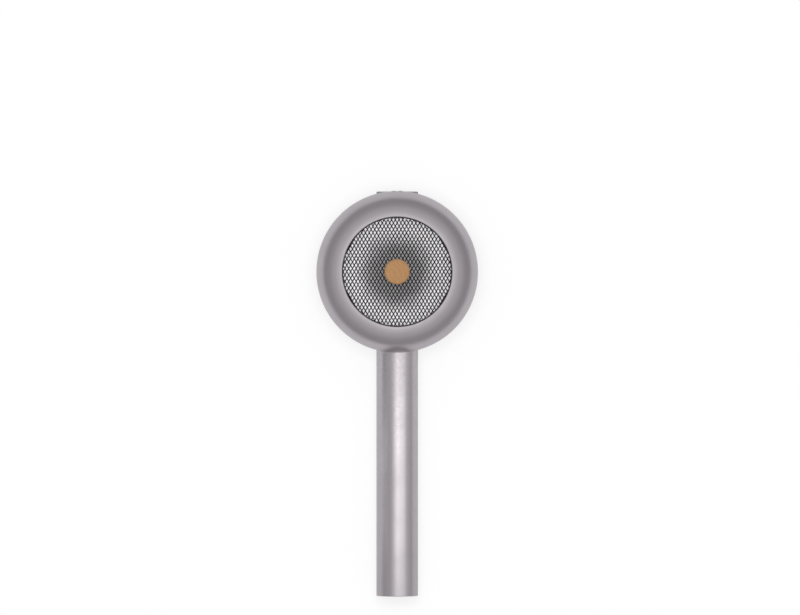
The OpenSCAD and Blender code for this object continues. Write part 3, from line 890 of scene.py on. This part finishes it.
def leaf_columns():
    """Places along the fixed leaf of its columns: close at a round corner, and a pair at the slot."""
    half = [BARREL_HALF - LEAF_ROUND * (1 - math.cos(math.radians(15 * i))) for i in range(7)]
    half += [9.5 * MM, 7.4 * MM, SLOT_HALF, SLOT_HALF - SLOT_STEP, 2.6 * MM]
    return [-x for x in half] + [0.0] + half[::-1]


def leaf_strip(profile, columns):
    """Strip with a side profile of (Y, Z) points, drawn along X through several columns."""
    bm = bmesh.new()
    verts = [bm.verts.new((columns[0], y, z)) for y, z in profile]
    edges = [bm.edges.new((verts[i - 1], verts[i])) for i in range(len(verts))]
    for before, after in zip(columns, columns[1:]):
        made = bmesh.ops.extrude_edge_only(bm, edges=edges)["geom"]
        edges = only(made, bmesh.types.BMEdge)
        bmesh.ops.translate(bm, verts=only(made, bmesh.types.BMVert), vec=(after - before, 0, 0))
    bmesh.ops.holes_fill(bm, edges=[e for e in bm.edges if e.is_boundary])
    return bm


def pan_leaf():
    """Fixed leaf: a strip on the pan's wall, bent out to a shelf that carries two knuckles."""
    wall_in = PAN_R + FIT
    wall_out = PAN_R + LEAF_T
    shelf_top = SHELF_Z + LEAF_T
    low = leaf_low.z
    above_corner = low + LEAF_ROUND + 0.5 * MM
    outside = [(wall_out, low), (wall_out, SHELF_Z), (SHELF_END_Y, SHELF_Z)]
    inside = [(SHELF_END_Y, shelf_top), (wall_in, shelf_top), (wall_in, low)]
    profile = [(wall_in, low), (wall_out, low), (wall_out, above_corner)]
    profile += rounded(outside, BEND_IN_R, closed=False)[1:]
    profile += rounded(inside, BEND_OUT_R, closed=False)[:-1]
    bm = leaf_strip(profile, leaf_columns())
    for vert in bm.verts:
        if vert.co.z < low + PICK:
            vert.co.z += corner_inset(BARREL_HALF - abs(vert.co.x), LEAF_ROUND)
        if abs(vert.co.x) < SLOT_HALF - SLOT_STEP / 2:
            vert.co.y = min(vert.co.y, wall_out)
        share = max(0.0, (vert.co.y - wall_out) / (SHELF_END_Y - wall_out))
        vert.co.y -= (1 - share) * (wall_out - math.sqrt(wall_out ** 2 - vert.co.x ** 2))
    bmesh.ops.remove_doubles(bm, verts=bm.verts, dist=MERGE)
    bmesh.ops.recalc_face_normals(bm, faces=bm.faces)
    add_copies(bm, barrel(SLOT_HALF, BARREL_HALF), [along_hinge(side) for side in (-1, 1)])
    return finish_mesh(bm, "pan_leaf", PLATE_STEEL, "pan", "hinge_pan_leaf")


def lid_leaf():
    """Moving leaf: a strip inside the skirt that follows the shoulder, on a knuckle of its own."""
    inner_r = LINING_R - LEAF_T
    points = [(DOME_C + inner_r, LID_LEAF_FOOT_Z), (DOME_C + LINING_R, LID_LEAF_FOOT_Z)]
    points += arc((DOME_C, DOME_Z), LINING_R, 0, LID_LEAF_DEG, steps=6)
    points += arc((DOME_C, DOME_Z), inner_r, LID_LEAF_DEG, 0, steps=6)
    half_deg = math.degrees(math.asin(LID_KNUCKLE_HALF / HINGE_Y))
    bm = spin_profile(points, steps=12, degrees=2 * half_deg)
    face_angle(bm, 90)
    soften(bm, LEAF_EDGE)
    add_copies(bm, barrel(-LID_KNUCKLE_HALF, LID_KNUCKLE_HALF), [along_hinge(1)])
    return finish_mesh(bm, "lid_leaf", PLATE_STEEL, "lid", "hinge_lid_leaf")


def barrel_pin():
    """Hinge pin with a low head at each end."""
    reach = pin_high.x
    neck = BARREL_HALF + FIT
    points = [(0, -reach), (PIN_HEAD_R, -reach), (PIN_HEAD_R, -neck), (PIN_R, -neck)]
    points += [(r, -z) for r, z in reversed(points)]
    pin = spin_profile(rounded(points, PIN_EDGE, closed=False), closed=False, steps=40)
    bm = placed(pin, [along_hinge(1)])
    return finish_mesh(bm, "barrel_pin", RIVET_STEEL, "pan", "hinge_pin")


# Rivets

def head_arc(r, h, steps=8):
    """Low domed head, from its edge at height 0 to its top in the middle."""
    ball_r = (r ** 2 + h ** 2) / (2 * h)
    edge_deg = math.degrees(math.asin((ball_r - h) / ball_r))
    points = arc((0, h - ball_r), ball_r, edge_deg, 90, steps)
    return points[:-1] + [(0, h)]


def rivet(r, grip, head_h=RIVET_HEAD_H):
    """Rivet along Z with a domed head at 0 and another below its grip."""
    head = head_arc(r * RIVET_HEAD_RATIO, head_h)
    points = [(x, -grip - z) for x, z in reversed(head)]
    points += [(r, -grip), (r, 0)] + head
    return spin_profile(points, closed=False, steps=32)


def head_set_in(r, wall_r):
    """How far a flat head of a rivet is set in to clear a hollow wall."""
    return wall_r - math.sqrt(wall_r ** 2 - (r * RIVET_HEAD_RATIO) ** 2) + INNER_HEAD_GAP


def at_wall(degrees, r, z):
    """Place that points +Z out from the pan's axis."""
    return (Matrix.Rotation(math.radians(degrees), 4, "Z") @ Matrix.Translation((r, 0, z))
            @ Matrix.Rotation(math.radians(90), 4, "Y"))


def saddle_rivets():
    """Four rivets through the saddle and the pan's wall."""
    grip = BRACKET_T + PAN_WALL + head_set_in(BRACKET_RIVET_R, PAN_R - PAN_WALL)
    places = [at_wall(-90 + side * BRACKET_RIVET_DEG, PAN_R + BRACKET_T, z)
              for side in (-1, 1) for z in BRACKET_RIVET_ZS]
    bm = placed(rivet(BRACKET_RIVET_R, grip), places)
    return finish_mesh(bm, "saddle_rivets", RIVET_STEEL, "pan", "bracket_rivets")


def pipe_rivets():
    """Two rivets through the tube and the collar, low on its sides."""
    grip = TUBE_R - COLLAR_IN_R + head_set_in(TUBE_RIVET_R, COLLAR_IN_R)
    places = [Matrix.Translation((0, TUBE_RIVET_Y, TUBE_Z))
              @ Matrix.Rotation(math.radians(side * (90 + TUBE_RIVET_DEG)), 4, "Y")
              @ Matrix.Translation((0, 0, TUBE_R)) for side in (-1, 1)]
    bm = placed(rivet(TUBE_RIVET_R, grip), places)
    return finish_mesh(bm, "pipe_rivets", RIVET_STEEL, "pan", "tube_rivets")


def pan_leaf_rivets():
    """Two rivets through the fixed leaf and the pan's wall, halfway up to the shelf."""
    leaf_r = PAN_R + LEAF_T
    z = (leaf_low.z + SHELF_Z) / 2
    grip = LEAF_T + PAN_WALL + head_set_in(HINGE_RIVET_R, PAN_R - PAN_WALL)
    lean = math.degrees(math.asin(PAN_LEAF_RIVET_X / leaf_r))
    bm = placed(rivet(HINGE_RIVET_R, grip), [at_wall(90 + side * lean, leaf_r, z) for side in (-1, 1)])
    return finish_mesh(bm, "pan_leaf_rivets", RIVET_STEEL, "pan", "hinge_pan_rivets")


def lid_leaf_rivets():
    """Two low rivets through the lid's shoulder and the moving leaf."""
    grip = LID_SHEET + FIT + LEAF_T + head_set_in(HINGE_RIVET_R, LINING_R - LEAF_T)
    lean = math.degrees(math.asin(LID_LEAF_RIVET_X / LID_R))
    places = [Matrix.Rotation(math.radians(90 + side * lean), 4, "Z")
              @ Matrix.Translation((DOME_C, 0, DOME_Z))
              @ Matrix.Rotation(math.radians(90 - LID_LEAF_DEG / 2), 4, "Y")
              @ Matrix.Translation((0, 0, DOME_R)) for side in (-1, 1)]
    bm = placed(rivet(HINGE_RIVET_R, grip, LOW_HEAD_H), places)
    return finish_mesh(bm, "lid_leaf_rivets", RIVET_STEEL, "lid", "hinge_lid_rivets")


# Fasteners of the knob

def flat_washer(name, node):
    """Washer on the knob's screw."""
    low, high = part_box(node)
    bm = flat_ring(SCREW_HOLE_R, high.x, low.z, high.z, WASHER_EDGE, steps=64)
    return finish_mesh(bm, name, RIVET_STEEL, "lid", node)


def brass_insert():
    """Brass insert that takes the screw in the knob's bore."""
    bm = flat_ring(INSERT_BORE_R, insert_high.x, insert_low.z, insert_high.z, INSERT_EDGE, steps=48)
    return finish_mesh(bm, "brass_insert", BRASS, "lid", "knob_insert")


def cross_screw():
    """Knob screw with a low domed head and a pressed cross for the driver."""
    under = screw_low.z + SCREW_HEAD_H
    tip_z = screw_high.z
    points = [(0, tip_z), (SCREW_R - SCREW_TIP_W, tip_z), (SCREW_R, tip_z - SCREW_TIP_H), (SCREW_R, under)]
    points += [(r, under - h) for r, h in head_arc(screw_high.x, SCREW_HEAD_H, steps=24)]
    bm = spin_profile(points, closed=False, steps=96)
    for vert in bm.verts:
        across, along = sorted((abs(vert.co.x), abs(vert.co.y)))
        if vert.co.z < under and across < CROSS_HALF_W and along < CROSS_REACH:
            vert.co.z += CROSS_DEPTH * (1 - along / CROSS_FADE)
    return finish_mesh(bm, "cross_screw", RIVET_STEEL, "lid", "knob_screw")


pan_shell()
pipe = handle_pipe()
saddle_bracket()
saddle_rivets()
pipe_rivets()
pan_leaf()
pan_leaf_rivets()
barrel_pin()
lid_shell()
lid_leaf()
lid_leaf_rivets()
screen = mesh_screen()
# The pan's floor mirrors the sky and not the mesh, so that its gaps show as bright as with the lid open
screen.visible_glossy = False
clamp_ring()
turned_knob()
brass_insert()
cross_screw()
flat_washer("upper_washer", "knob_top_washer")
flat_washer("lower_washer", "knob_bottom_washer")


# Stage: floor, world, lamps and camera

FLOOR_SIZE = 8.0
FLOOR_GAP = 0.2 * MM
FLOOR_GREY = (0.66, 0.66, 0.66, 1)
WHITE = (1, 1, 1, 1)
# The floor's glow for the camera near the object, and the share of it that is seen and mirrored
FLOOR_GLOW = 1.34
SEEN_SHARE = 0.55
MIRRORED_SHARE = 0.1
# Distances between which the floor fades into plain white
FADE_START = 0.3
FADE_END = 1.2

# Brightness of the studio by the upward part of a direction, from the horizon to straight up
SKY_LEVELS = ((0.0, 0.4), (0.1, 0.34), (0.24, 0.29), (0.59, 0.4), (0.82, 0.52), (0.96, 0.64),
              (0.985, 0.75), (0.994, 1.05), (1.0, 1.2))

# Lamps along the tube that light it alone: name, X, Z, height they aim at, width and watts
TUBE_LAMP_Y = -0.16
TUBE_LAMP_LENGTH = 0.7
TUBE_LAMPS = (
    ("tube_strip", 0.109, 0.59, 0.0, 0.084, 0.21),
    ("tube_panel", 0.212, 0.561, 0.0, 0.27, 0.1),
    ("tube_wing", 0.309, 0.368, 0.0, 0.67, 0.25),
    ("tube_flank", -0.5, 0.04, 0.02, 0.07, 0.08),
)
OVERHEAD_PLACE = (-0.03, 0.03, 1.6)
OVERHEAD_SIZE = (0.7, 0.7)
OVERHEAD_WATTS = 11.7

PHOTO_W = 800
PHOTO_H = 615
MM_PER_PIXEL = 0.711
# Where the middle of the lid lies in the picture
HEAD_PIXEL = (397.2, 271.9)
# Height at which the picture has that scale
CAMERA_PLANE_Z = 30 * MM
LENS = 300
SENSOR_W = 36
CLIP_END = 20


def pale_floor():
    """Pale floor that keeps a soft shadow and fades far from the object into the white behind it."""
    material, tree = new_material("pale_floor_finish")
    out = tree.nodes.new("ShaderNodeOutputMaterial")
    matte = add(tree, "ShaderNodeBsdfDiffuse", Color=FLOOR_GREY)
    glow = add(tree, "ShaderNodeEmission", Color=WHITE)
    distance = from_axis(tree, add(tree, "ShaderNodeTexCoord").outputs["Object"])[0]
    tree.links.new(remap(tree, distance, FADE_START, FADE_END, FLOOR_GLOW, 1.0), glow.inputs["Strength"])
    share = remap(tree, distance, FADE_START, FADE_END, SEEN_SHARE, 1.0)
    path = add(tree, "ShaderNodeLightPath").outputs
    mirrored = math_node(tree, "MAXIMUM", path["Is Glossy Ray"], path["Is Transmission Ray"])
    seen = add_shares(tree, math_node(tree, "MULTIPLY", path["Is Camera Ray"], share),
                      [(mirrored, MIRRORED_SHARE)])
    mix = add(tree, "ShaderNodeMixShader")
    tree.links.new(seen, mix.inputs["Fac"])
    tree.links.new(matte.outputs[0], mix.inputs[1])
    tree.links.new(glow.outputs[0], mix.inputs[2])
    tree.links.new(mix.outputs[0], out.inputs["Surface"])
    bm = bmesh.new()
    bmesh.ops.create_grid(bm, x_segments=1, y_segments=1, size=FLOOR_SIZE / 2)
    bmesh.ops.translate(bm, verts=bm.verts, vec=(0, 0, -FLOOR_GAP))
    mesh = bpy.data.meshes.new("pale_floor")
    bm.to_mesh(mesh)
    bm.free()
    mesh.materials.append(material)
    floor = bpy.data.objects.new("pale_floor", mesh)
    bpy.context.scene.collection.objects.link(floor)


def studio_world():
    """Soft studio dome, brightest overhead, with plain white behind the object."""
    world = bpy.data.worlds.new("studio")
    world.use_nodes = True
    bpy.context.scene.world = world
    tree = world.node_tree
    tree.nodes.clear()
    out = tree.nodes.new("ShaderNodeOutputWorld")
    split = add(tree, "ShaderNodeSeparateXYZ")
    tree.links.new(add(tree, "ShaderNodeTexCoord").outputs["Generated"], split.inputs[0])
    ramp = add(tree, "ShaderNodeValToRGB")
    elements = ramp.color_ramp.elements
    while len(elements) < len(SKY_LEVELS):
        elements.new(0.5)
    for element, (position, level) in zip(elements, SKY_LEVELS):
        element.position = position
        element.color = (level, level, level, 1)
    tree.links.new(split.outputs["Z"], ramp.inputs["Fac"])
    dome = add(tree, "ShaderNodeBackground")
    tree.links.new(ramp.outputs[0], dome.inputs["Color"])
    white = add(tree, "ShaderNodeBackground", Color=WHITE)
    mix = add(tree, "ShaderNodeMixShader")
    tree.links.new(add(tree, "ShaderNodeLightPath").outputs["Is Camera Ray"], mix.inputs["Fac"])
    tree.links.new(dome.outputs[0], mix.inputs[1])
    tree.links.new(white.outputs[0], mix.inputs[2])
    tree.links.new(mix.outputs[0], out.inputs["Surface"])


def area_lamp(name, place, aim, size, watts, mirrored=True):
    """Area lamp that aims at a point, unseen by the camera."""
    data = bpy.data.lights.new(name, "AREA")
    data.shape = "RECTANGLE"
    data.size, data.size_y = size
    data.energy = watts
    lamp = bpy.data.objects.new(name, data)
    lamp.location = place
    lamp.rotation_euler = (Vector(aim) - Vector(place)).to_track_quat("-Z", "Y").to_euler()
    lamp.visible_camera = False
    lamp.visible_glossy = mirrored
    bpy.context.scene.collection.objects.link(lamp)
    return lamp


def light_tube():
    """Faint lamps that give the tube its lengthwise highlight and light nothing else."""
    tube_only = bpy.data.collections.new("tube_only")
    tube_only.objects.link(pipe)
    for name, x, z, aim_z, width, watts in TUBE_LAMPS:
        place = (x, TUBE_LAMP_Y, z)
        aim = (0, TUBE_LAMP_Y, aim_z)
        lamp = area_lamp(name, place, aim, (width, TUBE_LAMP_LENGTH), watts)
        lamp.light_linking.receiver_collection = tube_only


def top_camera():
    """Long lens straight down, with the handle towards the bottom of the picture."""
    data = bpy.data.cameras.new("top_camera")
    data.lens = LENS
    data.sensor_width = SENSOR_W
    data.clip_end = CLIP_END
    width = PHOTO_W * MM_PER_PIXEL * MM
    distance = width * LENS / SENSOR_W
    aim_x = (PHOTO_W / 2 - HEAD_PIXEL[0]) * MM_PER_PIXEL * MM
    aim_y = (HEAD_PIXEL[1] - PHOTO_H / 2) * MM_PER_PIXEL * MM
    camera = bpy.data.objects.new("top_camera", data)
    camera.location = (aim_x, aim_y, CAMERA_PLANE_Z + distance)
    bpy.context.scene.collection.objects.link(camera)
    bpy.context.scene.camera = camera


pale_floor()
studio_world()
light_tube()
area_lamp("overhead", OVERHEAD_PLACE, (0, 0, 0), OVERHEAD_SIZE, OVERHEAD_WATTS, mirrored=False)
top_camera()

bpy.context.scene.view_settings.view_transform = "Standard"
